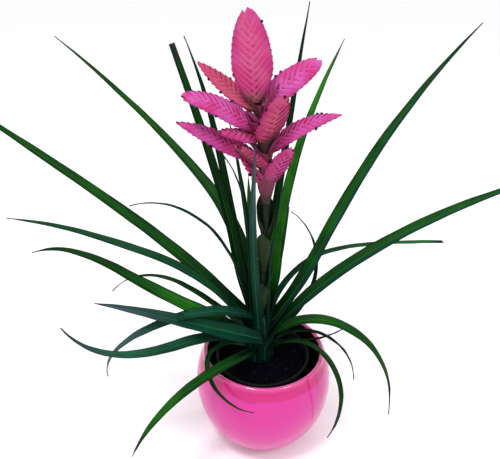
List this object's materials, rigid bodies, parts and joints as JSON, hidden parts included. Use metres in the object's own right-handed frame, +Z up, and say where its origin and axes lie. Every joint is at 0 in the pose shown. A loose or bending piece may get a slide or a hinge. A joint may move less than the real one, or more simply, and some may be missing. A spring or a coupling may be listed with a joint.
{
  "type": "potted bromeliad",
  "caption": "Potted bromeliad: a rosette of long channelled leaves round a tall flower spike of flattened pink paddles, in a round glazed pot.",
  "frame": {"origin": "centre of the pot's underside, on the floor", "axes": "+Z up; -Y towards the viewer of the front, +X to the viewer's right"},
  "size_m": [0.5927, 0.2964, 0.4511],
  "materials": {
    "glaze": "gloss",
    "plastic": "satin",
    "soil": "matte",
    "leaf": "satin",
    "stem": "satin",
    "paddle": "satin"
  },
  "bodies": {
    "root": {"leaf_left_low": "leaf", "leaf_front_wide": "leaf", "leaf_front_curl": "leaf", "leaf_right_drooping": "leaf", "leaf_right_thin": "leaf", "leaf_right_hooked": "leaf", "leaf_right_short": "leaf", "leaf_left_front": "leaf", "leaf_left_broad": "leaf", "leaf_left_drooping": "leaf", "leaf_left_hooked": "leaf", "leaf_left_twisted": "leaf", "leaf_left_long": "leaf", "leaf_right_long": "leaf", "leaf_right_tall": "leaf", "leaf_right_cut": "leaf", "leaf_right_recurved": "leaf", "leaf_back_arched": "leaf", "leaf_back_short": "leaf", "leaf_back_left": "leaf", "leaf_back_right": "leaf", "leaf_back_low": "leaf", "leaf_left_tall": "leaf", "leaf_upright_bright": "leaf", "leaf_upright_back": "leaf", "leaf_upright_dark": "leaf", "leaf_upright_cut": "leaf", "leaf_upright_thin": "leaf", "leaf_upright_slim": "leaf", "leaf_upright_front": "leaf", "leaf_upright_side": "leaf", "stem_bract_1": "stem", "stem_bract_2": "stem", "stem_bract_3": "stem", "stem_bract_4": "stem", "stem_bract_5": "stem", "paddle_top": "paddle", "paddle_right_upper": "paddle", "paddle_left_upper": "paddle", "paddle_left_broad": "paddle", "paddle_back_upper": "paddle", "paddle_front_right": "paddle", "paddle_left_small": "paddle", "paddle_back_lower": "paddle", "paddle_right_lower": "paddle", "paddle_left_lower": "paddle", "paddle_front_left": "paddle", "paddle_right_bud": "paddle", "paddle_left_bud": "paddle", "cachepot": "glaze", "nursery_pot": "plastic", "soil": "soil", "crown": "leaf", "flower_stem": "stem"}
  },
  "joints": []
}
